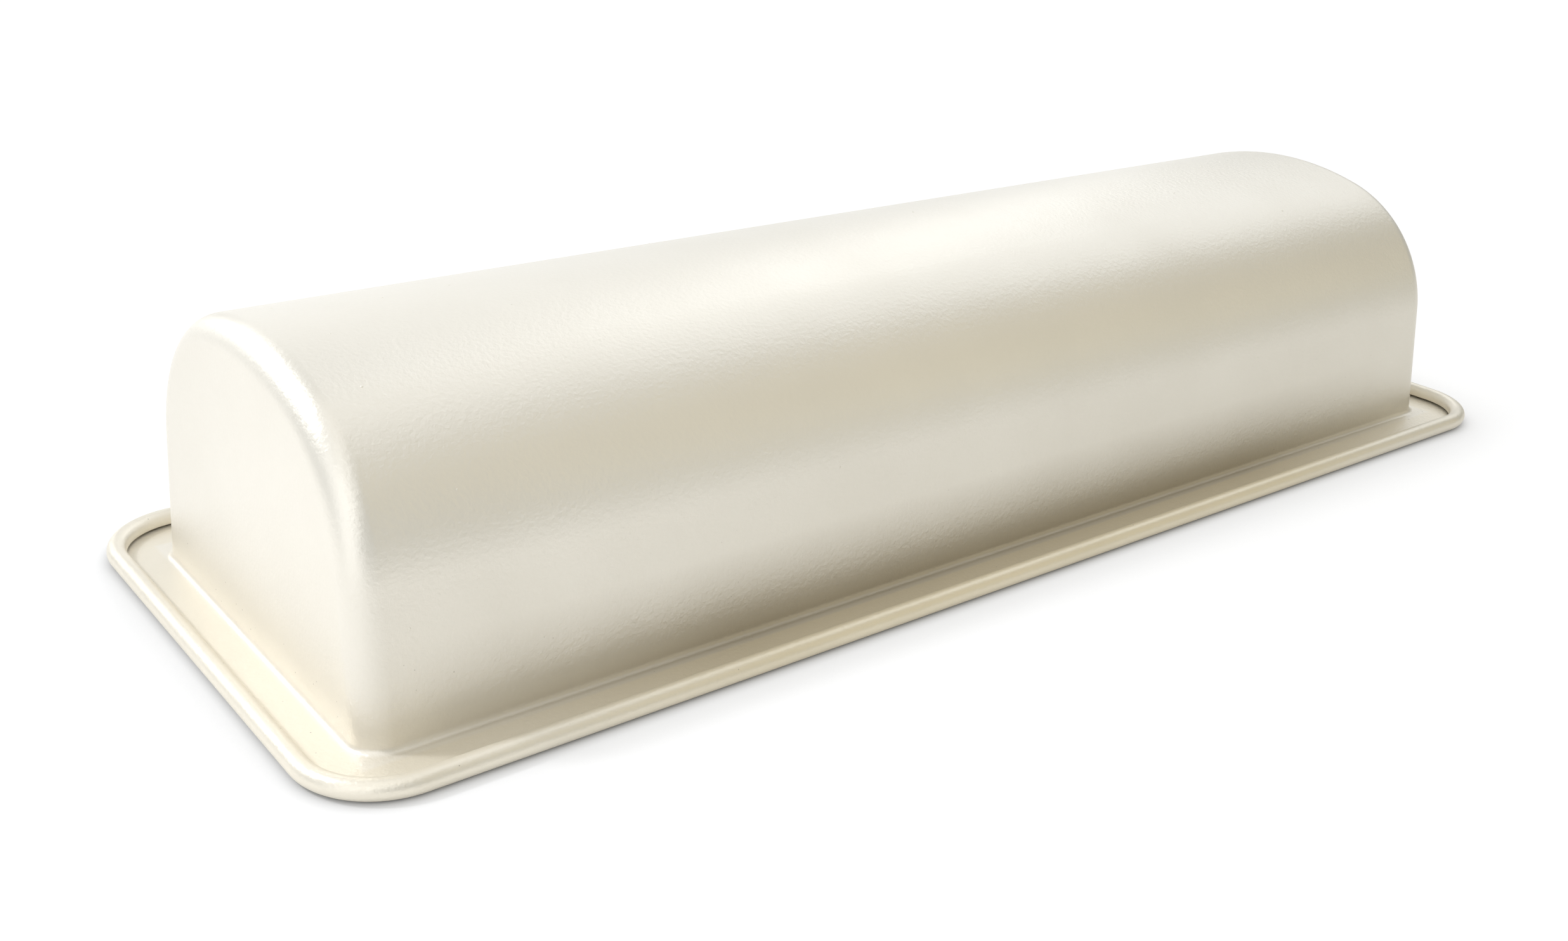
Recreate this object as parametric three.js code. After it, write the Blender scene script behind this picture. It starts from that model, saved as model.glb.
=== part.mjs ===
// Yule log mould: one deep-drawn steel trough, lying mouth down on the wired rim round its mouth.
// Millimetres, +Z up, +X along the log. The origin is under the middle of the mould, on the plane it rests on.

import * as THREE from 'three';
import { mergeVertices } from 'three/addons/utils/BufferGeometryUtils.js';

// Trough: outside of the sheet, with the length and width taken at the foot of the walls
const TROUGH_LENGTH = 278.6;
const TROUGH_WIDTH = 88.6;
const TROUGH_HEIGHT = 56;
const SIDE_DRAFT = THREE.MathUtils.degToRad(5.4);
const END_DRAFT = THREE.MathUtils.degToRad(1.8);
const SHOULDER_RADIUS = 31;
const CROWN_RADIUS = 71;
const END_FILLET_RADIUS = 5.3;
const FOOT_FILLET_RADIUS = 1.2;
const SHEET_THICKNESS = 0.6;

// Flange: from the foot of the wall to the rolled bead
const SIDE_FLANGE_WIDTH = 9.3;
const END_FLANGE_WIDTH = 7.1;

// Wired rim: the corner radius is the outside one, seen from above
const RIM_CORNER_RADIUS = 15.5;
const WIRE_DIAMETER = 1.8;
const WIRE_CLEARANCE = 0.3;
const WIRE_BUTT_GAP = 1;
const CURL_GAP = 0.4;

// The least length of straight side or crown that a large shoulder leaves
const LEAST_LAND = 0.5;

// Facets in each arc
const CORNER_STEPS = 8;
const SHOULDER_STEPS = 10;
const CROWN_STEPS = 4;
const FOOT_STEPS = 4;
const CURL_STEPS = 16;
const WIRE_SIDES = 10;

// Finishes
const PEARL_COAT = { color: 0xefebdf, roughness: 0.4, metalness: 0.45 };
const BRIGHT_WIRE = { color: 0xa8a6a0, roughness: 0.35, metalness: 1 };

// The near side and the left end are the negative ones
const NEAR = -1;
const FAR = 1;
const LEFT = -1;
const RIGHT = 1;

const QUARTER_TURN = Math.PI / 2;

// The bead closes round the wire, and the rim stands clear of the trough by the flange
const BEAD_RADIUS = WIRE_DIAMETER / 2 + WIRE_CLEARANCE + SHEET_THICKNESS;
const RIM_HALF_LENGTH = TROUGH_LENGTH / 2 + END_FLANGE_WIDTH + 2 * BEAD_RADIUS;
const RIM_HALF_WIDTH = TROUGH_WIDTH / 2 + SIDE_FLANGE_WIDTH + 2 * BEAD_RADIUS;
const BEAD_CORNER_RADIUS = RIM_CORNER_RADIUS - BEAD_RADIUS;

// The curl turns over the wire until its free edge stands the gap above the flange
const CURL_START = -QUARTER_TURN;
const CURL_END = Math.PI + Math.asin(1 - (CURL_GAP + SHEET_THICKNESS) / BEAD_RADIUS);

// Height of the centre of the foot fillet, whose hollow side is the upper one
const FOOT_CENTRE_HEIGHT = SHEET_THICKNESS + FOOT_FILLET_RADIUS;

// Cross-section: drafted side, shoulder arc and crown arc, each tangent to the next, as points (across, up)
function sectionArcs() {
  const sideNormal = new THREE.Vector2(Math.cos(SIDE_DRAFT), Math.sin(SIDE_DRAFT));
  const sideRise = new THREE.Vector2(-Math.sin(SIDE_DRAFT), Math.cos(SIDE_DRAFT));
  const sideReach = (TROUGH_WIDTH / 2) * Math.cos(SIDE_DRAFT);

  // One full round would touch both sides and the top: the crown is flatter than it, and the shoulders tighter
  const fullRound = (sideReach - TROUGH_HEIGHT * Math.sin(SIDE_DRAFT)) / (1 - Math.sin(SIDE_DRAFT));
  const crownRadius = Math.max(CROWN_RADIUS, fullRound + LEAST_LAND);
  const crownCentre = new THREE.Vector2(0, TROUGH_HEIGHT - crownRadius);

  // The largest shoulder that still starts above the foot fillet
  const footTop = new THREE.Vector2(TROUGH_WIDTH / 2, 0).addScaledVector(sideRise, FOOT_CENTRE_HEIGHT);
  const fromCrown = footTop.sub(crownCentre);
  const footRound =
    (crownRadius ** 2 - fromCrown.lengthSq()) / (2 * (crownRadius - sideNormal.dot(fromCrown)));
  const shoulderRadius = Math.min(SHOULDER_RADIUS, fullRound - LEAST_LAND, footRound - LEAST_LAND);

  // The shoulder's centre is its radius inside the side, and climbs the side until the arc meets the crown
  const shoulderCentre = sideNormal.clone().multiplyScalar(sideReach - shoulderRadius);
  const toCentre = shoulderCentre.clone().sub(crownCentre);
  const along = toCentre.dot(sideRise);
  const short = toCentre.lengthSq() - (crownRadius - shoulderRadius) ** 2;
  shoulderCentre.addScaledVector(sideRise, Math.sqrt(along ** 2 - short) - along);

  const meetingAngle = shoulderCentre.clone().sub(crownCentre).angle();
  return { shoulderCentre, shoulderRadius, crownCentre, crownRadius, meetingAngle };
}

const SECTION = sectionArcs();

// Half of the section, set in from the outside, from the top of the straight side to the middle of the crown
function halfSection(inset) {
  const { shoulderCentre, shoulderRadius, crownCentre, crownRadius, meetingAngle } = SECTION;
  const shoulder = new THREE.ArcCurve(
    shoulderCentre.x, shoulderCentre.y, shoulderRadius - inset, SIDE_DRAFT, meetingAngle);
  const crown = new THREE.ArcCurve(
    crownCentre.x, crownCentre.y, crownRadius - inset, meetingAngle, QUARTER_TURN);
  return [...shoulder.getPoints(SHOULDER_STEPS), ...crown.getPoints(CROWN_STEPS).slice(1)];
}

// Places round the rim, clockwise from above: the corner, and the turn from its long side to its end
const CORNERS = [[LEFT, NEAR], [LEFT, FAR], [RIGHT, FAR], [RIGHT, NEAR]];
const TURNS = Array.from({ length: CORNER_STEPS + 1 }, (_, step) => (QUARTER_TURN * step) / CORNER_STEPS);
const STATIONS = CORNERS.flatMap(([end, side]) => {
  const turns = end === side ? TURNS : TURNS.toReversed();
  return turns.map((turn) => ({ end, side, turn }));
});

// Direction straight out from the mould at a station
function outward({ end, side, turn }) {
  return new THREE.Vector3(end * Math.sin(turn), side * Math.cos(turn), 0);
}

// Centre of a rim arc at a station, given how far along and across the corner's centre lies
function cornerCentre({ end, side }, along, across) {
  return new THREE.Vector3(end * along, side * across, 0);
}

// A flat arc (out, up) stood up at a station
function standUp(arc, steps, centre, out) {
  return arc.getPoints(steps).map((point) => centre.clone().addScaledVector(out, point.x).setZ(point.y));
}

// Foot fillet of one face of the sheet, from the wall down to the flange: the depth is 0 on the outside face
function footFillet(station, depth) {
  const endSlope = Math.tan(END_DRAFT);
  const sideSlope = Math.tan(SIDE_DRAFT);
  const draft = Math.atan(Math.sin(station.turn) * endSlope + Math.cos(station.turn) * sideSlope);
  const centre = cornerCentre(
    station,
    TROUGH_LENGTH / 2 - END_FILLET_RADIUS - FOOT_CENTRE_HEIGHT * endSlope,
    TROUGH_WIDTH / 2 - END_FILLET_RADIUS - FOOT_CENTRE_HEIGHT * sideSlope);
  const arc = new THREE.ArcCurve(
    END_FILLET_RADIUS + FOOT_FILLET_RADIUS / Math.cos(draft),
    FOOT_CENTRE_HEIGHT,
    FOOT_FILLET_RADIUS + depth,
    Math.PI + draft,
    Math.PI + QUARTER_TURN);
  return standUp(arc, FOOT_STEPS, centre, outward(station));
}

// Curl of one face of the sheet, from the flange out, up and over the wire to the free edge
function curl(station, depth) {
  const centre = cornerCentre(station, RIM_HALF_LENGTH - RIM_CORNER_RADIUS, RIM_HALF_WIDTH - RIM_CORNER_RADIUS);
  const radius = BEAD_RADIUS - SHEET_THICKNESS + depth;
  const arc = new THREE.ArcCurve(BEAD_CORNER_RADIUS, BEAD_RADIUS, radius, CURL_START, CURL_END);
  return standUp(arc, CURL_STEPS, centre, outward(station));
}

// Arch of one face of the sheet, from the near foot over the crown to the far foot, part way round an end fillet
function arch(end, turn, depth) {
  const bend = END_FILLET_RADIUS - depth;
  const reach = TROUGH_LENGTH / 2 - END_FILLET_RADIUS + bend * Math.sin(turn);
  const half = halfSection(depth + bend * (1 - Math.cos(turn)));
  const place = (side) => (point) =>
    new THREE.Vector3(end * (reach - point.y * Math.tan(END_DRAFT)), side * point.x, point.y);
  const [nearFoot] = footFillet({ end, side: NEAR, turn }, depth);
  const [farFoot] = footFillet({ end, side: FAR, turn }, depth);
  const far = half.slice(0, -1).map(place(FAR));
  return [nearFoot, ...half.map(place(NEAR)), ...far.toReversed(), farFoot];
}

// Triangles of a surface through rows of points: a looped one runs from the last row back to the first
function surface(rows, looped = false) {
  const triangles = [];
  const strips = looped ? rows.length : rows.length - 1;
  for (let i = 0; i < strips; i++) {
    const row = rows[i];
    const next = rows[(i + 1) % rows.length];
    for (let j = 0; j + 1 < row.length; j++) {
      triangles.push([row[j], next[j], next[j + 1]], [row[j], next[j + 1], row[j + 1]]);
    }
  }
  // A strip that narrows to a point has one flat triangle there
  return triangles.filter(([a, b, c]) => a !== b && b !== c && c !== a);
}

// Flat end wall, laid between the near and the far half of its edge
function endWall(edge, end) {
  const top = (edge.length - 1) / 2;
  const near = edge.slice(0, top + 1);
  const far = edge.slice(top).toReversed();
  return surface(end === RIGHT ? [near, far] : [far, near]);
}

// One whole face of the sheet, with its triangles turned outwards from the mould
function sheetFace(depth) {
  const leftArches = TURNS.toReversed().map((turn) => arch(LEFT, turn, depth));
  const rightArches = TURNS.map((turn) => arch(RIGHT, turn, depth));
  const flanks = STATIONS.map((station) => [...footFillet(station, depth), ...curl(station, depth)]);
  return [
    ...surface([...leftArches, ...rightArches]),
    ...endWall(leftArches[0], LEFT),
    ...endWall(rightArches.at(-1), RIGHT),
    ...surface(flanks, true),
  ];
}

// Two faces of the sheet, closed along the free edge of the curl
function shellTriangles() {
  const inside = sheetFace(SHEET_THICKNESS).map(([a, b, c]) => [a, c, b]);
  const freeEdge = STATIONS.map((station) => [
    curl(station, 0).at(-1),
    curl(station, SHEET_THICKNESS).at(-1),
  ]);
  return [...sheetFace(0), ...inside, ...surface(freeEdge, true)];
}

// One length of wire, bent round the rim inside the bead, with its ends meeting in the middle of the far side
function wireTriangles() {
  const section = new THREE.ArcCurve(0, 0, WIRE_DIAMETER / 2, 0, 2 * Math.PI, true);
  const ring = (centre, out) =>
    section.getPoints(WIRE_SIDES).map((point) =>
      centre.clone().addScaledVector(out, point.x).setZ(BEAD_RADIUS + point.y));

  const half = STATIONS.length / 2;
  const corners = [...STATIONS.slice(half), ...STATIONS.slice(0, half)].map((station) => {
    const centre = cornerCentre(
      station, RIM_HALF_LENGTH - RIM_CORNER_RADIUS, RIM_HALF_WIDTH - RIM_CORNER_RADIUS);
    const out = outward(station);
    return ring(centre.addScaledVector(out, BEAD_CORNER_RADIUS), out);
  });

  const buttEnd = (end) =>
    new THREE.Vector3((end * WIRE_BUTT_GAP) / 2, FAR * (RIM_HALF_WIDTH - BEAD_RADIUS), BEAD_RADIUS);
  const farOut = new THREE.Vector3(0, FAR, 0);
  const first = ring(buttEnd(RIGHT), farOut);
  const last = ring(buttEnd(LEFT), farOut);
  const cap = (edge, centre) => surface([edge, edge.map(() => centre)]);
  return [
    ...surface([first, ...corners, last]),
    ...cap(first.toReversed(), buttEnd(RIGHT)),
    ...cap(last, buttEnd(LEFT)),
  ];
}

// A named piece from its triangles, with the points that they share joined
function piece(name, triangles, finish) {
  const geometry = mergeVertices(new THREE.BufferGeometry().setFromPoints(triangles.flat()));
  geometry.computeVertexNormals();
  const mesh = new THREE.Mesh(geometry, new THREE.MeshStandardMaterial(finish));
  mesh.name = name;
  return mesh;
}

const mould = new THREE.Group();
mould.name = 'yule_log_mould';
mould.add(piece('mould_shell', shellTriangles(), PEARL_COAT));
mould.add(piece('rim_wire', wireTriangles(), BRIGHT_WIRE));

export default mould;
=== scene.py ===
import math
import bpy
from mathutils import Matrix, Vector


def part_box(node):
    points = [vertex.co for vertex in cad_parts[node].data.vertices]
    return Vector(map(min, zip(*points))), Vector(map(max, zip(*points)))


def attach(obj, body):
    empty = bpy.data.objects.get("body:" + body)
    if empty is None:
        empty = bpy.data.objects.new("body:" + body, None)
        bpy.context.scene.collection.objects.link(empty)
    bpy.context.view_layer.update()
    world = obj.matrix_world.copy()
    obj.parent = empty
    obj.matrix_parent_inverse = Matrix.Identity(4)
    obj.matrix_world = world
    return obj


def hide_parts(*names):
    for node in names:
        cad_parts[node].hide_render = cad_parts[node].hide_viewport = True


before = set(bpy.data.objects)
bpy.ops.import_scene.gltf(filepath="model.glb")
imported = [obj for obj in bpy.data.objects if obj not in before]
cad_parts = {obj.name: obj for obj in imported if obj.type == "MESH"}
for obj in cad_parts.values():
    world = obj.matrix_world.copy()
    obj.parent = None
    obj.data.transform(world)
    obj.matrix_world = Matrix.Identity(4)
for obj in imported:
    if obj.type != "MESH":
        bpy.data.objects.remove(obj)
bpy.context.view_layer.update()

from types import SimpleNamespace

import bpy
from mathutils import Matrix, Vector

bl_info = {
    "name": "Yule Log Mould",
    "version": (1, 0, 0),
    "blender": (4, 5, 0),
    "location": "3D View > Sidebar > Mould",
    "description": "Builds a drawn steel log cake mould with a wired rim, its pearl coat and a studio stage",
    "category": "Add Mesh",
}

SHELL_LOW, SHELL_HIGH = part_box("mould_shell")
BODY = "root"

# How finely the sheet is stepped: counts of faces along each stretch
CORNER_STEPS = 20
END_SPANS = 12
SIDE_SPANS = 48
WALL_ROWS = 5
SHOULDER_STEPS = 32
CROWN_STEPS = 8
FOOT_STEPS = 12
FLANGE_SPANS = 3
CURL_STEPS = 40
WIRE_SIDES = 24
ARCH_ROWS = WALL_ROWS + SHOULDER_STEPS + CROWN_STEPS
LAP = 2 * CORNER_STEPS + END_SPANS + SIDE_SPANS
WELD = 1e-5

QUARTER = math.pi / 2

# Dust nibs: how many to a square metre, from which share of the height up, how small and how flat
NIB_SEED = 7
NIB_DENSITY = 900.0
NIB_LOWEST = 0.3
NIB_LEAST = 0.5
NIB_FLATNESS = 0.4

# Grain of the coat and of the wire
COAT_METALLIC = 0.45
COAT_ROUGHNESS = 0.38
COAT_MOTTLE = 0.03
PEEL_SIZE = 0.0008
PEEL_DEPTH = 0.0001
PEEL_STRENGTH = 0.9
SPECK_SPACING = 0.0016
SPECK_SHARE = 0.10
SPECK_WIDTH = 0.00028
SPECK_RISE = 0.02
WIRE_ROUGHNESS = 0.28
WIRE_MOTTLE = 0.004
WIRE_GRAIN = 0.0003
WIRE_DEPTH = 0.00002
WIRE_STRENGTH = 0.5

# Painted shade along the feet of the long walls, and the rim's warmer tone with painted warm shade along the
# long sides: heights, distances from the middle of the mould, and how softly each edge fades
HALF_TROUGH = 0.140
END_FADE = 0.070
# END_WARMTH: share of the rim's warmer tone kept at the ends; the extra along the long sides is painted warm
# shade
END_WARMTH = 0.35
FOOT_OUT = 0.0462
FOOT_FADE = 0.0008
RIM_TOP = 0.0048
RIM_FADE = 0.001
# Painted shade in the valley between the long walls' feet and the bead, less on the flange
VALLEY_SHADE_TOP = 0.017
VALLEY_SHADE_FADE = 0.013
VALLEY_SHADE_SHARE = 0.58
FLANGE_SHADE_DROP = 0.26
BEAD_INNER = 0.0535
BEAD_FADE = 0.0015
# Painted shade in the crease where the long walls meet the flange
CREASE_SHADE_OUT = 0.0448
CREASE_SHADE_WIDTH = 0.0008
CREASE_SHADE_TOP = 0.004
CREASE_SHADE_FADE = 0.002
CREASE_SHADE_END_FADE = 0.02
CREASE_SHADE_SHARE = 0.28

# Floor as the camera and reflections see it: part lit, part glowing, with a contact shadow round the rim
FLOOR_REACH = 6.0
FLOOR_DROP = 0.0001
FLOOR_LIT = (0.30, 0.30, 0.30, 1.0)
FLOOR_GLOW = 0.78
CONTACT_REACH = 0.03

# Lamps: what they face, and the bluish white of most of them
LAMP_TARGET = (0, 0, 0.03)
CORNER_TARGET = (-0.143, -0.035, 0.005)
SPOT_RADIUS = 0.06
COOL_WHITE = (0.95, 0.96, 1.0)
COOLER_WHITE = (0.93, 0.95, 1.0)

# Camera of the photograph
CAMERA_PLACE = (-0.22151, -0.24725, 0.14026)
CAMERA_HEADING = math.radians(38.447)
CAMERA_DOWN = math.radians(22.988)
CAMERA_ROLL = math.radians(2.21)
CAMERA_LENS = 37.714
CAMERA_SENSOR = 36.0


class MouldSizes(bpy.types.PropertyGroup):
    """Sizes of the pressed sheet and of the wire in its rim"""

    rim_length: bpy.props.FloatProperty(
        name="Rim Length", description="Length over the bead", unit="LENGTH", precision=4,
        default=SHELL_HIGH.x - SHELL_LOW.x)
    rim_width: bpy.props.FloatProperty(
        name="Rim Width", description="Width over the bead", unit="LENGTH", precision=4,
        default=SHELL_HIGH.y - SHELL_LOW.y)
    height: bpy.props.FloatProperty(
        name="Height", description="From the rim's underside to the crown", unit="LENGTH", precision=4,
        default=SHELL_HIGH.z - SHELL_LOW.z)
    trough_length: bpy.props.FloatProperty(
        name="Trough Length", description="Length of the trough where its walls would meet the table",
        unit="LENGTH", precision=4, default=0.2786)
    trough_width: bpy.props.FloatProperty(
        name="Trough Width", description="Width of the trough where its walls would meet the table",
        unit="LENGTH", precision=4, default=0.0886)
    side_draft: bpy.props.FloatProperty(
        name="Side Draft", description="Lean of the long walls", subtype="ANGLE", default=math.radians(5.4))
    end_draft: bpy.props.FloatProperty(
        name="End Draft", description="Lean of the end walls", subtype="ANGLE", default=math.radians(1.8))
    shoulder_radius: bpy.props.FloatProperty(
        name="Shoulder Radius", description="Arc between a long wall and the crown",
        unit="LENGTH", precision=4, default=0.031)
    crown_radius: bpy.props.FloatProperty(
        name="Crown Radius", description="Arc over the top", unit="LENGTH", precision=4, default=0.071)
    end_fillet: bpy.props.FloatProperty(
        name="End Fillet", description="Round edge of the end walls",
        unit="LENGTH", precision=4, default=0.0053)
    foot_fillet: bpy.props.FloatProperty(
        name="Foot Fillet", description="Round inner edge between the walls and the flange",
        unit="LENGTH", precision=4, default=0.0012)
    sheet: bpy.props.FloatProperty(
        name="Sheet", description="Thickness of the sheet", unit="LENGTH", precision=5, default=0.0006)
    rim_corner: bpy.props.FloatProperty(
        name="Rim Corner", description="Radius of the rim's corners over the bead",
        unit="LENGTH", precision=4, default=0.0155)
    wire: bpy.props.FloatProperty(
        name="Wire", description="Diameter of the wire", unit="LENGTH", precision=4, default=0.0018)
    wire_clearance: bpy.props.FloatProperty(
        name="Wire Clearance", description="Gap between the wire and the curl",
        unit="LENGTH", precision=5, default=0.0003)
    butt_gap: bpy.props.FloatProperty(
        name="Butt Gap", description="Gap between the two ends of the wire",
        unit="LENGTH", precision=4, default=0.001)
    curl_gap: bpy.props.FloatProperty(
        name="Curl Gap", description="Slit between the curl's free edge and the flange",
        unit="LENGTH", precision=5, default=0.0004)
    nib_size: bpy.props.FloatProperty(
        name="Nib Size", description="Width of the largest dust nibs under the coat",
        unit="LENGTH", precision=5, default=0.0005)


class MouldFinish(bpy.types.PropertyGroup):
    """Colours of the coat, its painted shade, the wire and the floor"""

    coat: bpy.props.FloatVectorProperty(
        name="Coat", description="Champagne pearl of the coat", subtype="COLOR", min=0, max=1,
        default=(0.87, 0.83, 0.74))
    # Painted shade: the colour that darkens the feet of the long walls
    painted_foot_shade: bpy.props.FloatVectorProperty(
        name="Painted Foot Shade", description="Painted shade along the feet of the long walls, on their lower walls, flanges and creases",
        subtype="COLOR", min=0, max=1, default=(0.42, 0.37, 0.28))
    # Partly the rim's own warmer tone, partly painted warm shade along the long sides
    rim_tone_and_shade: bpy.props.FloatVectorProperty(
        name="Rim Tone and Shade", description="Warmer tone of the flange and the bead, with painted warm shade along the long sides", subtype="COLOR",
        min=0, max=1, default=(0.84, 0.76, 0.59))
    speck: bpy.props.FloatVectorProperty(
        name="Speck", description="Dark specks in the coat", subtype="COLOR", min=0, max=1,
        default=(0.40, 0.36, 0.30))
    wire: bpy.props.FloatVectorProperty(
        name="Wire", description="Drawn steel", subtype="COLOR", min=0, max=1, default=(0.62, 0.61, 0.59))
    wire_dull: bpy.props.FloatVectorProperty(
        name="Dull Wire", description="Steel where it is dull", subtype="COLOR", min=0, max=1,
        default=(0.42, 0.41, 0.39))
    floor: bpy.props.FloatVectorProperty(
        name="Floor", description="Pale floor", subtype="COLOR", min=0, max=1, default=(0.9, 0.9, 0.9))
    room: bpy.props.FloatVectorProperty(
        name="Room", description="Even light of the room", subtype="COLOR", min=0, max=1,
        default=(0.295, 0.31, 0.31))


class Field:
    """A number in a node tree; arithmetic on it adds Math nodes"""

    def __init__(self, tree, socket):
        self.tree = tree
        self.socket = socket

    def __add__(self, other):
        return calculate("ADD", self, other)

    def __radd__(self, other):
        return calculate("ADD", other, self)

    def __sub__(self, other):
        return calculate("SUBTRACT", self, other)

    def __rsub__(self, other):
        return calculate("SUBTRACT", other, self)

    def __mul__(self, other):
        return calculate("MULTIPLY", self, other)

    def __rmul__(self, other):
        return calculate("MULTIPLY", other, self)

    def __truediv__(self, other):
        return calculate("DIVIDE", self, other)

    def __rtruediv__(self, other):
        return calculate("DIVIDE", other, self)

    def __neg__(self):
        return calculate("MULTIPLY", self, -1.0)


def plug(tree, socket, value):
    """Links a field or an output to a socket, or sets the socket to a plain value"""
    if isinstance(value, Field):
        tree.links.new(value.socket, socket)
    elif isinstance(value, bpy.types.NodeSocket):
        tree.links.new(value, socket)
    else:
        socket.default_value = value


def add_node(tree, kind, inputs=None, **settings):
    """Adds a node, with its own settings and with its inputs by name"""
    node = tree.nodes.new(kind)
    for name, value in settings.items():
        setattr(node, name, value)
    for name, value in (inputs or {}).items():
        plug(tree, node.inputs[name], value)
    return node


def calculate(operation, *values):
    """One Math node on fields and plain numbers"""
    tree = next(value.tree for value in values if isinstance(value, Field))
    node = add_node(tree, "ShaderNodeMath", operation=operation)
    for socket, value in zip(node.inputs, values):
        plug(tree, socket, value)
    return Field(tree, node.outputs[0])


def constant(tree, number):
    """A plain number as a field"""
    node = add_node(tree, "ShaderNodeValue")
    node.outputs[0].default_value = number
    return Field(tree, node.outputs[0])


def sine(angle):
    return calculate("SINE", angle)


def cosine(angle):
    return calculate("COSINE", angle)


def tangent(angle):
    return calculate("TANGENT", angle)


def clamp(value, low, high):
    return calculate("MINIMUM", calculate("MAXIMUM", value, low), high)


def mix(first, second, share):
    return first + (second - first) * share


def mix_point(first, second, share):
    return [mix(a, b, share) for a, b in zip(first, second)]


def size_label(name):
    return MouldSizes.bl_rna.properties[name].name


def geometry_tree(name, size_names):
    """A modifier's tree with an input for each size: gives the tree, its inputs and the sizes as fields"""
    tree = bpy.data.node_groups.new(name, "GeometryNodeTree")
    tree.is_modifier = True
    tree.interface.new_socket("Geometry", in_out="INPUT", socket_type="NodeSocketGeometry")
    tree.interface.new_socket("Material", in_out="INPUT", socket_type="NodeSocketMaterial")
    for size_name in size_names:
        tree.interface.new_socket(size_label(size_name), in_out="INPUT", socket_type="NodeSocketFloat")
    tree.interface.new_socket("Geometry", in_out="OUTPUT", socket_type="NodeSocketGeometry")
    given = tree.nodes.new("NodeGroupInput")
    fields = {n: Field(tree, given.outputs[size_label(n)]) for n in size_names}
    return tree, given, SimpleNamespace(**fields)


def end_tree(tree, given, geometry):
    """Ends a tree: plain smooth faces in the given material"""
    real = add_node(tree, "GeometryNodeRealizeInstances", {"Geometry": geometry})
    smooth = add_node(tree, "GeometryNodeSetShadeSmooth", {"Geometry": real.outputs[0]})
    coated = add_node(tree, "GeometryNodeSetMaterial",
                      {"Geometry": smooth.outputs[0], "Material": given.outputs["Material"]})
    add_node(tree, "NodeGroupOutput", {"Geometry": coated.outputs[0]})


def add_tree(piece, tree, material, sizes):
    """Puts a tree on an object as a modifier and sets its inputs"""
    modifier = piece.modifiers.new(tree.name, "NODES")
    modifier.node_group = tree
    values = {size_label(n): getattr(sizes, n) for n in SIZE_NAMES}
    values["Material"] = material
    for item in tree.interface.items_tree:
        if item.in_out == "INPUT" and item.name in values:
            modifier[item.identifier] = values[item.name]


def new_object(name):
    piece = bpy.data.objects.new(name, bpy.data.meshes.new(name))
    bpy.context.scene.collection.objects.link(piece)
    return piece


def make_plain(piece):
    """Turns an object with modifiers into a plain mesh"""
    bpy.context.view_layer.update()
    shaped = piece.evaluated_get(bpy.context.evaluated_depsgraph_get())
    mesh = bpy.data.meshes.new_from_object(shaped)
    raw = piece.data
    piece.modifiers.clear()
    piece.data = mesh
    bpy.data.meshes.remove(raw)
    mesh.name = piece.name
    if not mesh.polygons:
        raise RuntimeError(f"{piece.name} came out empty")
    used = mesh.materials[mesh.polygons[0].material_index]
    mesh.materials.clear()
    mesh.materials.append(used)
    mesh.polygons.foreach_set("material_index", [0] * len(mesh.polygons))


SIZE_NAMES = tuple(MouldSizes.__annotations__)
SHEET_SIZES = (
    "rim_length", "rim_width", "height", "trough_length", "trough_width", "side_draft", "end_draft",
    "shoulder_radius", "crown_radius", "end_fillet", "foot_fillet", "sheet", "rim_corner", "wire",
    "wire_clearance", "curl_gap")
WIRE_SIZES = ("rim_length", "rim_width", "rim_corner", "sheet", "wire", "wire_clearance", "butt_gap")


def bead_radius(size):
    return size.wire / 2 + size.wire_clearance + size.sheet


def rim_station(number):
    """Where a station lies on its way round the mouth, clockwise from the near left corner.
    End and side run from -1 to 1 between the corner centres, and turn is the way out of the mouth."""
    lap = calculate("FLOOR", number / LAP)
    step = number - lap * LAP
    first = clamp(step, 0, CORNER_STEPS)
    across = clamp(step - CORNER_STEPS, 0, END_SPANS)
    second = clamp(step - (CORNER_STEPS + END_SPANS), 0, CORNER_STEPS)
    along = clamp(step - (2 * CORNER_STEPS + END_SPANS), 0, SIDE_SPANS)
    way = 1 - 2 * calculate("MODULO", lap, 2)
    end = way * (along * (2 / SIDE_SPANS) - 1)
    side = way * (across * (2 / END_SPANS) - 1)
    turn = lap * math.pi + (first + second) * (QUARTER / CORNER_STEPS)
    return end, side, turn


def stand_out(end, side, turn, along, across, reach, up):
    """A point at a reach from a corner centre, in the direction of the turn"""
    return [end * along - sine(turn) * reach, side * across - cosine(turn) * reach, up]


def foot_point(size, end, side, turn, swing):
    """A point of the foot fillet: swing 0 is on the wall and 1 on the flange"""
    slope = (calculate("ABSOLUTE", sine(turn)) * tangent(size.end_draft)
             + calculate("ABSOLUTE", cosine(turn)) * tangent(size.side_draft))
    lean = calculate("ARCTANGENT", slope)
    angle = math.pi + lean + (QUARTER - lean) * swing
    centre_up = size.sheet + size.foot_fillet
    reach = size.end_fillet + size.foot_fillet / cosine(lean) + size.foot_fillet * cosine(angle)
    along = size.trough_length / 2 - size.end_fillet - centre_up * tangent(size.end_draft)
    across = size.trough_width / 2 - size.end_fillet - centre_up * tangent(size.side_draft)
    return stand_out(end, side, turn, along, across, reach, centre_up + size.foot_fillet * sine(angle))


def bead_point(size, end, side, turn, roll, radius):
    """A point round the wire's centre line: roll 0 is outermost and a quarter on is the top"""
    along = size.rim_length / 2 - size.rim_corner
    across = size.rim_width / 2 - size.rim_corner
    reach = size.rim_corner - bead_radius(size) + radius * cosine(roll)
    return stand_out(end, side, turn, along, across, reach, bead_radius(size) + radius * sine(roll))


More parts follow.
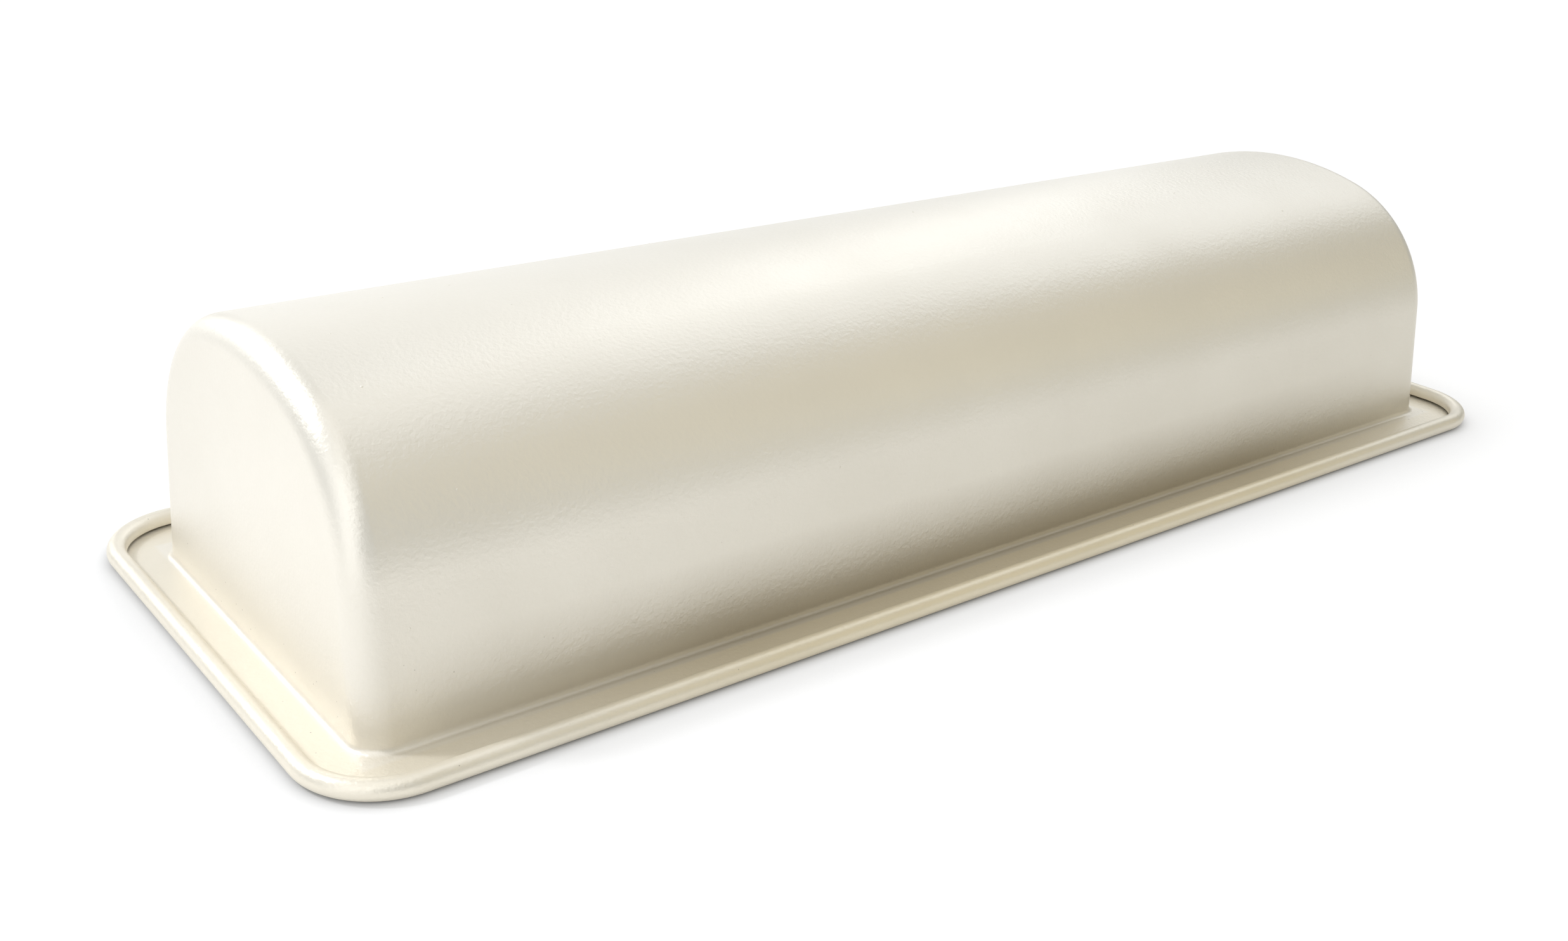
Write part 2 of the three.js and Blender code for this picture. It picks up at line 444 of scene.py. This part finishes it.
def section_arcs(size):
    """Centre of the shoulder arc, height of the crown's centre and the angle at which the two arcs meet"""
    out = cosine(size.side_draft)
    rise = sine(size.side_draft)
    inside = size.trough_width / 2 * out - size.shoulder_radius
    crown_up = size.height - size.crown_radius
    across = out * inside
    up = rise * inside - crown_up
    along = up * out - across * rise
    apart = size.crown_radius - size.shoulder_radius
    short = across * across + up * up - apart * apart
    climb = calculate("SQRT", along * along - short) - along
    centre_across = across - climb * rise
    centre_up = up + climb * out
    meeting = calculate("ARCTAN2", centre_up, centre_across)
    return centre_across, centre_up + crown_up, crown_up, meeting


def half_section(size, climb, inset):
    """A point of the trough's section: climb counts steps up the shoulder and the crown"""
    shoulder_across, shoulder_up, crown_up, meeting = section_arcs(size)
    on_shoulder = clamp(climb, 0, SHOULDER_STEPS) / SHOULDER_STEPS
    on_crown = clamp(climb - SHOULDER_STEPS, 0, CROWN_STEPS) / CROWN_STEPS
    angle = mix(mix(size.side_draft, meeting, on_shoulder), QUARTER, on_crown)
    crowned = calculate("GREATER_THAN", climb, SHOULDER_STEPS)
    radius = mix(size.shoulder_radius, size.crown_radius, crowned) - inset
    across = shoulder_across * (1 - crowned) + radius * cosine(angle)
    up = mix(shoulder_up, crown_up, crowned) + radius * sine(angle)
    return across, up


def grid_patch(tree, columns, rows):
    """A flat grid of faces, with the column and the row of each of its points"""
    grid = add_node(tree, "GeometryNodeMeshGrid", {
        "Size X": columns, "Size Y": rows, "Vertices X": columns + 1, "Vertices Y": rows + 1})
    place = add_node(tree, "GeometryNodeInputPosition")
    apart = add_node(tree, "ShaderNodeSeparateXYZ", {"Vector": place.outputs[0]})
    column = calculate("ROUND", Field(tree, apart.outputs["X"]) + columns / 2)
    row = calculate("ROUND", Field(tree, apart.outputs["Y"]) + rows / 2)
    return grid.outputs["Mesh"], column, row


def set_points(tree, geometry, point):
    """Moves every point of a geometry to its own place"""
    place = add_node(tree, "ShaderNodeCombineXYZ", dict(zip("XYZ", point)))
    moved = add_node(tree, "GeometryNodeSetPosition", {"Geometry": geometry, "Position": place.outputs[0]})
    return moved.outputs[0]


def arch_point(size, end, turn, row):
    """A point of an arch over the trough: rows count from the near foot over the crown to the far foot"""
    climbed = ARCH_ROWS - calculate("ABSOLUTE", row - ARCH_ROWS)
    inset = size.end_fillet * (1 - cosine(turn))
    across, up = half_section(size, calculate("MAXIMUM", climbed - WALL_ROWS, 0), inset)
    reach = size.trough_length / 2 - size.end_fillet - up * tangent(size.end_draft)
    arc = [end * reach - sine(turn) * size.end_fillet, -across, up]
    foot = foot_point(size, end, -1.0, turn, 0)
    x, y, z = mix_point(foot, arc, clamp(climbed, 0, WALL_ROWS) / WALL_ROWS)
    return x, y * calculate("SIGN", ARCH_ROWS - row), z


def arch_patch(tree, size):
    """The long walls, shoulders and crown, with the round edges of both ends"""
    grid, column, row = grid_patch(tree, 2 * CORNER_STEPS + SIDE_SPANS, 2 * ARCH_ROWS)
    first = clamp(column, 0, CORNER_STEPS)
    along = clamp(column - CORNER_STEPS, 0, SIDE_SPANS)
    second = clamp(column - (CORNER_STEPS + SIDE_SPANS), 0, CORNER_STEPS)
    turn = QUARTER - (first + second) * (QUARTER / CORNER_STEPS)
    end = along * (2 / SIDE_SPANS) - 1
    return set_points(tree, grid, arch_point(size, end, turn, row))


def end_patch(tree, size):
    """The flat wall at the left end: a net whose top follows the crown and whose sides follow the walls"""
    side_rows = ARCH_ROWS - END_SPANS // 2
    grid, column, row = grid_patch(tree, END_SPANS, side_rows)
    number = END_SPANS - column
    turn = constant(tree, QUARTER)
    _, edge_y, edge_up = arch_point(size, -1.0, turn, row)
    _, top_y, top_up = arch_point(size, -1.0, turn, number + side_rows)
    _, bend_y, bend_up = arch_point(size, -1.0, turn, constant(tree, side_rows))
    side = number * (2 / END_SPANS) - 1
    share = row / side_rows
    across = share * (top_y + side * bend_y) - side * edge_y
    up = edge_up + share * (top_up - bend_up)
    return set_points(tree, grid, [up * tangent(size.end_draft) - size.trough_length / 2, across, up])


def rim_patch(tree, size):
    """The foot fillet, the flange and the curl, all the way round the mouth"""
    grid, column, row = grid_patch(tree, 2 * LAP, FOOT_STEPS + FLANGE_SPANS + CURL_STEPS)
    end, side, turn = rim_station(column)
    foot = foot_point(size, end, side, turn, clamp(row, 0, FOOT_STEPS) / FOOT_STEPS)
    curled = clamp(row - (FOOT_STEPS + FLANGE_SPANS), 0, CURL_STEPS) / CURL_STEPS
    last_height = 1 - (size.curl_gap + size.sheet) / bead_radius(size)
    last_roll = math.pi + calculate("ARCSINE", last_height)
    roll = mix(-QUARTER, last_roll, curled)
    bead = bead_point(size, end, side, turn, roll, bead_radius(size) - size.sheet)
    flat = clamp(row - FOOT_STEPS, 0, FLANGE_SPANS) / FLANGE_SPANS
    return set_points(tree, grid, mix_point(foot, bead, flat))


def sheet_tree():
    """The upper face of the pressed sheet, from the crown to the curl's free edge"""
    tree, given, size = geometry_tree("pressed_sheet", SHEET_SIZES)
    left_end = end_patch(tree, size)
    right_end = add_node(tree, "GeometryNodeTransform", {
        "Geometry": left_end, "Rotation": (0, 0, math.pi)}).outputs[0]
    join = add_node(tree, "GeometryNodeJoinGeometry")
    for patch in (arch_patch(tree, size), left_end, right_end, rim_patch(tree, size)):
        tree.links.new(patch, join.inputs[0])
    welded = add_node(tree, "GeometryNodeMergeByDistance", {"Geometry": join.outputs[0], "Distance": WELD})
    end_tree(tree, given, welded.outputs[0])
    return tree


def wire_tree():
    """The wire in the rim: one bent length whose ends meet in the middle of the far side"""
    tree, given, size = geometry_tree("bent_wire", WIRE_SIZES)
    start = 2 * CORNER_STEPS + END_SPANS + SIDE_SPANS // 2
    line = add_node(tree, "GeometryNodeMeshLine", {"Count": 2 * LAP + 1})
    number = Field(tree, add_node(tree, "GeometryNodeInputIndex").outputs[0])
    end, side, turn = rim_station(number + start)
    x, y, z = bead_point(size, end, side, turn, constant(tree, 0), 0.0)
    at_start = calculate("LESS_THAN", number, 0.5)
    at_end = calculate("GREATER_THAN", number, 2 * LAP - 0.5)
    x = x + (at_start - at_end) * size.butt_gap / 2
    path = add_node(tree, "GeometryNodeMeshToCurve", {"Mesh": set_points(tree, line.outputs[0], [x, y, z])})
    ring = add_node(tree, "GeometryNodeCurvePrimitiveCircle", {
        "Resolution": WIRE_SIDES, "Radius": size.wire / 2})
    tube = add_node(tree, "GeometryNodeCurveToMesh", {
        "Curve": path.outputs[0], "Profile Curve": ring.outputs[0], "Fill Caps": True})
    end_tree(tree, given, tube.outputs[0])
    return tree


def nib_tree():
    """Small flat domes scattered over the crown and the upper walls"""
    tree, given, size = geometry_tree("coat_nibs", ("height", "nib_size"))
    place = add_node(tree, "GeometryNodeInputPosition")
    up = Field(tree, add_node(tree, "ShaderNodeSeparateXYZ", {"Vector": place.outputs[0]}).outputs["Z"])
    high = calculate("GREATER_THAN", up, size.height * NIB_LOWEST)
    scatter = add_node(tree, "GeometryNodeDistributePointsOnFaces", {
        "Mesh": given.outputs["Geometry"], "Selection": high, "Density": NIB_DENSITY, "Seed": NIB_SEED})
    width = add_node(tree, "FunctionNodeRandomValue", {"Seed": NIB_SEED}, data_type="FLOAT")
    plug(tree, width.inputs[2], NIB_LEAST)
    plug(tree, width.inputs[3], 1.0)
    radius = Field(tree, width.outputs[1]) * size.nib_size / 2
    scale = add_node(tree, "ShaderNodeCombineXYZ", {"X": radius, "Y": radius, "Z": radius * NIB_FLATNESS})
    dome = add_node(tree, "GeometryNodeMeshIcoSphere", {"Radius": 1.0, "Subdivisions": 2})
    placed = add_node(tree, "GeometryNodeInstanceOnPoints", {
        "Points": scatter.outputs["Points"], "Instance": dome.outputs[0],
        "Rotation": scatter.outputs["Rotation"], "Scale": scale.outputs[0]})
    end_tree(tree, given, placed.outputs[0])
    return tree


def shader_group(name, inputs, outputs):
    """A shader group with named sockets: gives the tree, its inputs and its output node"""
    group = bpy.data.node_groups.new(name, "ShaderNodeTree")
    for label, kind in inputs:
        group.interface.new_socket(label, in_out="INPUT", socket_type=kind)
    for label, kind in outputs:
        group.interface.new_socket(label, in_out="OUTPUT", socket_type=kind)
    return group, group.nodes.new("NodeGroupInput"), group.nodes.new("NodeGroupOutput")


def place_group(tree, group, inputs):
    node = add_node(tree, "ShaderNodeGroup", node_tree=group)
    for name, value in inputs.items():
        plug(tree, node.inputs[name], value)
    return node


def object_vector(tree):
    return add_node(tree, "ShaderNodeTexCoord").outputs["Object"]


def peel_group():
    """Orange peel: soft bumps of one size with a finer grain on them"""
    group, given, out = shader_group(
        "orange_peel",
        [("Vector", "NodeSocketVector"), ("Bump Size", "NodeSocketFloat")],
        [("Height", "NodeSocketFloat")])
    scale = 1 / Field(group, given.outputs["Bump Size"])
    soft = add_node(group, "ShaderNodeTexNoise", {
        "Vector": given.outputs["Vector"], "Scale": scale, "Detail": 1.0, "Roughness": 0.5})
    fine = add_node(group, "ShaderNodeTexNoise", {
        "Vector": given.outputs["Vector"], "Scale": scale * 3, "Detail": 2.0, "Roughness": 0.6})
    height = Field(group, soft.outputs[0]) * 0.7 + Field(group, fine.outputs[0]) * 0.3
    plug(group, out.inputs["Height"], height)
    return group


def mottle_group():
    """Slow change over a surface, from 0 to 1"""
    group, given, out = shader_group(
        "mottle",
        [("Vector", "NodeSocketVector"), ("Patch Size", "NodeSocketFloat")],
        [("Amount", "NodeSocketFloat")])
    noise = add_node(group, "ShaderNodeTexNoise", {
        "Vector": given.outputs["Vector"], "Scale": 1 / Field(group, given.outputs["Patch Size"]),
        "Detail": 3.0, "Roughness": 0.55})
    stretch = add_node(group, "ShaderNodeMapRange", {
        "Value": noise.outputs[0], "From Min": 0.3, "From Max": 0.7})
    plug(group, out.inputs["Amount"], stretch.outputs[0])
    return group


def speck_group():
    """Small round specks in a share of the cells of a random lattice"""
    group, given, out = shader_group(
        "specks",
        [("Vector", "NodeSocketVector"), ("Spacing", "NodeSocketFloat"), ("Share", "NodeSocketFloat"),
         ("Width", "NodeSocketFloat")],
        [("Mask", "NodeSocketFloat")])
    cells = add_node(group, "ShaderNodeTexVoronoi", {
        "Vector": given.outputs["Vector"], "Scale": 1 / Field(group, given.outputs["Spacing"])})
    parts = add_node(group, "ShaderNodeSeparateColor", {"Color": cells.outputs["Color"]})
    draw = Field(group, parts.outputs[0])
    kept = calculate("LESS_THAN", draw, Field(group, given.outputs["Share"]))
    size = Field(group, given.outputs["Width"]) / 2 / Field(group, given.outputs["Spacing"])
    inside = clamp(2 - Field(group, cells.outputs["Distance"]) / size * 2, 0, 1)
    plug(group, out.inputs["Mask"], kept * inside)
    return group


def new_material(name):
    """A material with an empty tree but for its Principled shader and its output"""
    material = bpy.data.materials.new(name)
    material.use_nodes = True
    tree = material.node_tree
    tree.nodes.clear()
    shader = add_node(tree, "ShaderNodeBsdfPrincipled")
    add_node(tree, "ShaderNodeOutputMaterial", {"Surface": shader.outputs[0]})
    return material, tree, shader


def mix_colour(tree, first, second, share):
    node = add_node(tree, "ShaderNodeMix", data_type="RGBA")
    plug(tree, node.inputs["Factor"], share)
    plug(tree, node.inputs[6], first)
    plug(tree, node.inputs[7], second)
    return node.outputs[2]


def opaque(colour):
    return (*colour, 1.0)


def rim_tone_and_foot_shade_masks(tree, vector):
    """How far the rim takes its warmer tone, partly its own and partly painted warm shade along the long
    sides, and how far painted shade darkens the feet, lower walls, flanges and creases of the long walls
    """
    parts = add_node(tree, "ShaderNodeSeparateXYZ", {"Vector": vector})
    x, y, up = [Field(tree, parts.outputs[axis]) for axis in "XYZ"]
    out = calculate("ABSOLUTE", y)
    from_end = HALF_TROUGH - calculate("ABSOLUTE", x)
    along = clamp(from_end / END_FADE, 0, 1)
    beyond_foot = clamp((out - FOOT_OUT) / FOOT_FADE, 0, 1)
    beyond = calculate("MAXIMUM", beyond_foot, clamp(-from_end / FOOT_FADE, 0, 1))
    # Warmer rim tone beyond the foot: END_WARMTH of it at the ends as the rim's own tone, the extra along
    # the long sides as painted warm shade
    rim = beyond * clamp((RIM_TOP - up) / RIM_FADE, 0, 1) * clamp(from_end / END_FADE, END_WARMTH, 1)
    # Painted shade in the valley from the lower long walls down to the bead, less on the flange
    low = clamp((VALLEY_SHADE_TOP - up) / VALLEY_SHADE_FADE, 0, 1)
    inside = clamp((BEAD_INNER - out) / BEAD_FADE, 0, 1)
    valley_shade = low * along * inside * (VALLEY_SHADE_SHARE - beyond_foot * FLANGE_SHADE_DROP)
    # Painted shade in the crease at the foot of the long walls, fading out near the ends
    crease_shade = clamp(1.5 - calculate("ABSOLUTE", out - CREASE_SHADE_OUT) / CREASE_SHADE_WIDTH, 0, 1)
    crease_shade = crease_shade * clamp((CREASE_SHADE_TOP - up) / CREASE_SHADE_FADE, 0, 1) * clamp(from_end / CREASE_SHADE_END_FADE, 0, 1)
    return rim, valley_shade + crease_shade * CREASE_SHADE_SHARE


def pearl_coat(finish, groups):
    """Satin champagne pearl with painted shade along the feet of the long walls and a warmer rim that is
    partly painted warm shade, with orange peel and dark specks low on the walls
    """
    material, tree, shader = new_material("champagne_pearl")
    vector = object_vector(tree)
    mottle = place_group(tree, groups.mottle, {"Vector": vector, "Patch Size": COAT_MOTTLE})
    specks = place_group(tree, groups.specks, {
        "Vector": vector, "Spacing": SPECK_SPACING, "Share": SPECK_SHARE, "Width": SPECK_WIDTH})
    up = Field(tree, add_node(tree, "ShaderNodeSeparateXYZ", {"Vector": vector}).outputs["Z"])
    low = clamp(1.2 - up / SPECK_RISE, 0.05, 1)
    slow = Field(tree, mottle.outputs["Amount"])
    rim, foot = rim_tone_and_foot_shade_masks(tree, vector)
    # Warmer rim tone, partly painted warm shade, then painted shade along the feet of the long walls, with a
    # slight random mottle toward the shade colour
    warm = mix_colour(tree, opaque(finish.coat), opaque(finish.rim_tone_and_shade), rim)
    coat = mix_colour(tree, warm, opaque(finish.painted_foot_shade), clamp(foot + slow * 0.05, 0, 1))
    speckled = mix_colour(tree, coat, opaque(finish.speck), Field(tree, specks.outputs["Mask"]) * low)
    peel = place_group(tree, groups.peel, {"Vector": vector, "Bump Size": PEEL_SIZE})
    bump = add_node(tree, "ShaderNodeBump", {
        "Height": peel.outputs["Height"], "Distance": PEEL_DEPTH, "Strength": PEEL_STRENGTH})
    plug(tree, shader.inputs["Base Color"], speckled)
    plug(tree, shader.inputs["Roughness"], COAT_ROUGHNESS + slow * 0.04)
    plug(tree, shader.inputs["Normal"], bump.outputs[0])
    shader.inputs["Metallic"].default_value = COAT_METALLIC
    return material


def bright_wire(finish, groups):
    """Drawn steel wire with dull patches"""
    material, tree, shader = new_material("drawn_steel")
    vector = object_vector(tree)
    mottle = place_group(tree, groups.mottle, {"Vector": vector, "Patch Size": WIRE_MOTTLE})
    peel = place_group(tree, groups.peel, {"Vector": vector, "Bump Size": WIRE_GRAIN})
    dull = Field(tree, mottle.outputs["Amount"])
    plug(tree, shader.inputs["Base Color"],
         mix_colour(tree, opaque(finish.wire), opaque(finish.wire_dull), dull))
    plug(tree, shader.inputs["Roughness"], WIRE_ROUGHNESS + dull * 0.2)
    bump = add_node(tree, "ShaderNodeBump", {
        "Height": peel.outputs["Height"], "Distance": WIRE_DEPTH, "Strength": WIRE_STRENGTH})
    plug(tree, shader.inputs["Normal"], bump.outputs[0])
    shader.inputs["Metallic"].default_value = 1.0
    return material


def pale_floor(finish):
    """Matt floor that the camera and reflections see white where no shadow falls"""
    material = bpy.data.materials.new("pale_floor")
    material.use_nodes = True
    tree = material.node_tree
    tree.nodes.clear()
    path = add_node(tree, "ShaderNodeLightPath")
    seen = Field(tree, path.outputs["Is Camera Ray"])
    for name in ("Is Glossy Ray", "Is Transmission Ray"):
        seen = calculate("MAXIMUM", seen, Field(tree, path.outputs[name]))
    plain = add_node(tree, "ShaderNodeBsdfDiffuse", {"Color": opaque(finish.floor)})
    shaded = add_node(tree, "ShaderNodeBsdfDiffuse", {"Color": FLOOR_LIT})
    contact = add_node(tree, "ShaderNodeAmbientOcclusion", {
        "Color": (1, 1, 1, 1), "Distance": CONTACT_REACH})
    glow = add_node(tree, "ShaderNodeEmission", {"Color": contact.outputs["Color"], "Strength": FLOOR_GLOW})
    bright = add_node(tree, "ShaderNodeAddShader")
    plug(tree, bright.inputs[0], shaded.outputs[0])
    plug(tree, bright.inputs[1], glow.outputs[0])
    choice = add_node(tree, "ShaderNodeMixShader", {"Fac": seen})
    plug(tree, choice.inputs[1], plain.outputs[0])
    plug(tree, choice.inputs[2], bright.outputs[0])
    add_node(tree, "ShaderNodeOutputMaterial", {"Surface": choice.outputs[0]})
    return material


def studio_world(finish):
    """An evenly lit room"""
    world = bpy.data.worlds.new("studio")
    world.use_nodes = True
    tree = world.node_tree
    tree.nodes.clear()
    light = add_node(tree, "ShaderNodeBackground", {"Color": opaque(finish.room), "Strength": 1.0})
    add_node(tree, "ShaderNodeOutputWorld", {"Surface": light.outputs[0]})
    return world


def hang_lamp(lamp, target, azimuth, elevation, distance):
    """Puts a lamp at a distance from a point and turns it to the point.
    Azimuth 0 is on the right and 90 behind."""
    hung = bpy.data.objects.new(lamp.name, lamp)
    bpy.context.scene.collection.objects.link(hung)
    aim = Matrix.Rotation(math.radians(azimuth), 3, "Z") @ Matrix.Rotation(-math.radians(elevation), 3, "Y")
    away = aim @ Vector((distance, 0, 0))
    hung.location = away + Vector(target)
    hung.rotation_euler = away.to_track_quat("Z", "Y").to_euler()
    hung.visible_camera = False
    return hung


def softbox(name, azimuth, elevation, distance, size, power, colour=(1, 1, 1)):
    """A square lamp that faces the object"""
    lamp = bpy.data.lights.new(name, "AREA")
    lamp.size = size
    lamp.energy = power
    lamp.color = colour
    return hang_lamp(lamp, LAMP_TARGET, azimuth, elevation, distance)


def corner_spot(name, azimuth, elevation, distance, cone, power, colour=(1, 1, 1)):
    """A soft-edged spot on the near corner of the rim"""
    lamp = bpy.data.lights.new(name, "SPOT")
    lamp.energy = power
    lamp.color = colour
    lamp.spot_size = math.radians(cone)
    lamp.spot_blend = 1.0
    lamp.shadow_soft_size = SPOT_RADIUS
    return hang_lamp(lamp, CORNER_TARGET, azimuth, elevation, distance)


def picture_camera():
    """The camera at the photograph's place, turned down, round and slightly over"""
    view = bpy.data.cameras.new("picture_camera")
    view.sensor_width = CAMERA_SENSOR
    view.lens = CAMERA_LENS
    view.clip_start = 0.01
    camera = bpy.data.objects.new("picture_camera", view)
    bpy.context.scene.collection.objects.link(camera)
    heading = Matrix.Rotation(-CAMERA_HEADING, 4, "Z")
    tilt = Matrix.Rotation(QUARTER - CAMERA_DOWN, 4, "X")
    roll = Matrix.Rotation(CAMERA_ROLL, 4, "Z")
    camera.matrix_world = Matrix.Translation(CAMERA_PLACE) @ heading @ tilt @ roll
    return camera


def shared_groups():
    """The shader groups, made once"""
    makers = {"orange_peel": peel_group, "mottle": mottle_group, "specks": speck_group}
    made = {n: bpy.data.node_groups.get(n) or make() for n, make in makers.items()}
    return SimpleNamespace(peel=made["orange_peel"], mottle=made["mottle"], specks=made["specks"])


def coat_material(finish):
    return bpy.data.materials.get("champagne_pearl") or pearl_coat(finish, shared_groups())


class MOULD_OT_shell(bpy.types.Operator):
    """Build the pressed sheet with its trough, flange and curled rim"""

    bl_idname = "mould.shell"
    bl_label = "Pressed Shell"

    def execute(self, context):
        sizes = context.scene.mould_sizes
        piece = new_object("pressed_shell")
        tree = bpy.data.node_groups.get("pressed_sheet") or sheet_tree()
        add_tree(piece, tree, coat_material(context.scene.mould_finish), sizes)
        wall = piece.modifiers.new("sheet", "SOLIDIFY")
        wall.thickness = sizes.sheet
        wall.offset = -1.0
        wall.use_even_offset = True
        edge = piece.modifiers.new("free_edge", "BEVEL")
        edge.width = sizes.sheet * 0.2
        edge.segments = 2
        edge.limit_method = "ANGLE"
        edge.angle_limit = math.radians(60)
        piece.modifiers.new("flats", "WEIGHTED_NORMAL")
        make_plain(piece)
        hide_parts("mould_shell")
        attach(piece, BODY)
        return {"FINISHED"}


class MOULD_OT_wire(bpy.types.Operator):
    """Build the wire inside the curled rim"""

    bl_idname = "mould.wire"
    bl_label = "Rim Wire"

    def execute(self, context):
        scene = context.scene
        piece = new_object("bent_rim_wire")
        add_tree(piece, wire_tree(), bright_wire(scene.mould_finish, shared_groups()), scene.mould_sizes)
        make_plain(piece)
        piece.data.set_sharp_from_angle(angle=math.radians(50))
        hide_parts("rim_wire")
        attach(piece, BODY)
        return {"FINISHED"}


class MOULD_OT_nibs(bpy.types.Operator):
    """Scatter the dust nibs in the coat"""

    bl_idname = "mould.nibs"
    bl_label = "Coat Nibs"

    def execute(self, context):
        sizes = context.scene.mould_sizes
        coat = coat_material(context.scene.mould_finish)
        piece = new_object("coat_nibs")
        tree = bpy.data.node_groups.get("pressed_sheet") or sheet_tree()
        add_tree(piece, tree, coat, sizes)
        add_tree(piece, nib_tree(), coat, sizes)
        make_plain(piece)
        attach(piece, BODY)
        return {"FINISHED"}


class MOULD_OT_stage(bpy.types.Operator):
    """Set the floor, the light and the camera"""

    bl_idname = "mould.stage"
    bl_label = "Studio Stage"

    def execute(self, context):
        scene = context.scene
        finish = scene.mould_finish
        floor = new_object("floor")
        square = ((-1, -1), (1, -1), (1, 1), (-1, 1))
        corners = [(x * FLOOR_REACH, y * FLOOR_REACH, -FLOOR_DROP) for x, y in square]
        floor.data.from_pydata(corners, [], [(0, 1, 2, 3)])
        floor.data.materials.append(pale_floor(finish))
        scene.world = studio_world(finish)
        corner_spot("corner_spot", 138, 46, 1.2, 14, 24.0, COOL_WHITE)
        softbox("key_lamp", 141, 45, 1.6, 0.35, 4.4, (0.94, 0.96, 1.0))
        softbox("back_left_panel", 110, 25, 1.6, 1.0, 4.6, COOL_WHITE)
        softbox("back_panel", 60, 22, 1.6, 1.3, 3.8, COOL_WHITE)
        softbox("right_panel", 22, 42, 1.6, 1.4, 7.0, COOLER_WHITE)
        softbox("top_panel", 270, 84, 1.6, 1.2, 3.3, (1.0, 0.97, 0.95))
        softbox("front_panel", 314, 29, 1.6, 1.3, 2.4, (1.0, 0.77, 0.32))
        softbox("front_low_panel", 314, 3, 1.6, 1.2, 0.6, (0.86, 0.98, 1.0))
        softbox("left_low_panel", 206, 15, 0.45, 0.3, 0.32, COOL_WHITE)
        softbox("front_left_card", 222, 38, 0.4, 0.25, 0.16)
        scene.camera = picture_camera()
        scene.view_settings.view_transform = "Standard"
        return {"FINISHED"}


class MOULD_PT_panel(bpy.types.Panel):
    """Sizes, colours and build steps of the mould"""

    bl_idname = "MOULD_PT_panel"
    bl_label = "Yule Log Mould"
    bl_space_type = "VIEW_3D"
    bl_region_type = "UI"
    bl_category = "Mould"

    def draw(self, context):
        layout = self.layout
        for name in SIZE_NAMES:
            layout.prop(context.scene.mould_sizes, name)
        for name in MouldFinish.__annotations__:
            layout.prop(context.scene.mould_finish, name)
        for operator in BUILD_ORDER:
            layout.operator(operator.bl_idname)


BUILD_ORDER = (MOULD_OT_shell, MOULD_OT_wire, MOULD_OT_nibs, MOULD_OT_stage)
CLASSES = (MouldSizes, MouldFinish, *BUILD_ORDER, MOULD_PT_panel)


def register():
    for cls in CLASSES:
        bpy.utils.register_class(cls)
    bpy.types.Scene.mould_sizes = bpy.props.PointerProperty(type=MouldSizes)
    bpy.types.Scene.mould_finish = bpy.props.PointerProperty(type=MouldFinish)


def unregister():
    del bpy.types.Scene.mould_finish
    del bpy.types.Scene.mould_sizes
    for cls in reversed(CLASSES):
        bpy.utils.unregister_class(cls)


def main():
    register()
    bpy.ops.mould.shell()
    bpy.ops.mould.wire()
    bpy.ops.mould.nibs()
    bpy.ops.mould.stage()


if __name__ == "__main__":
    main()
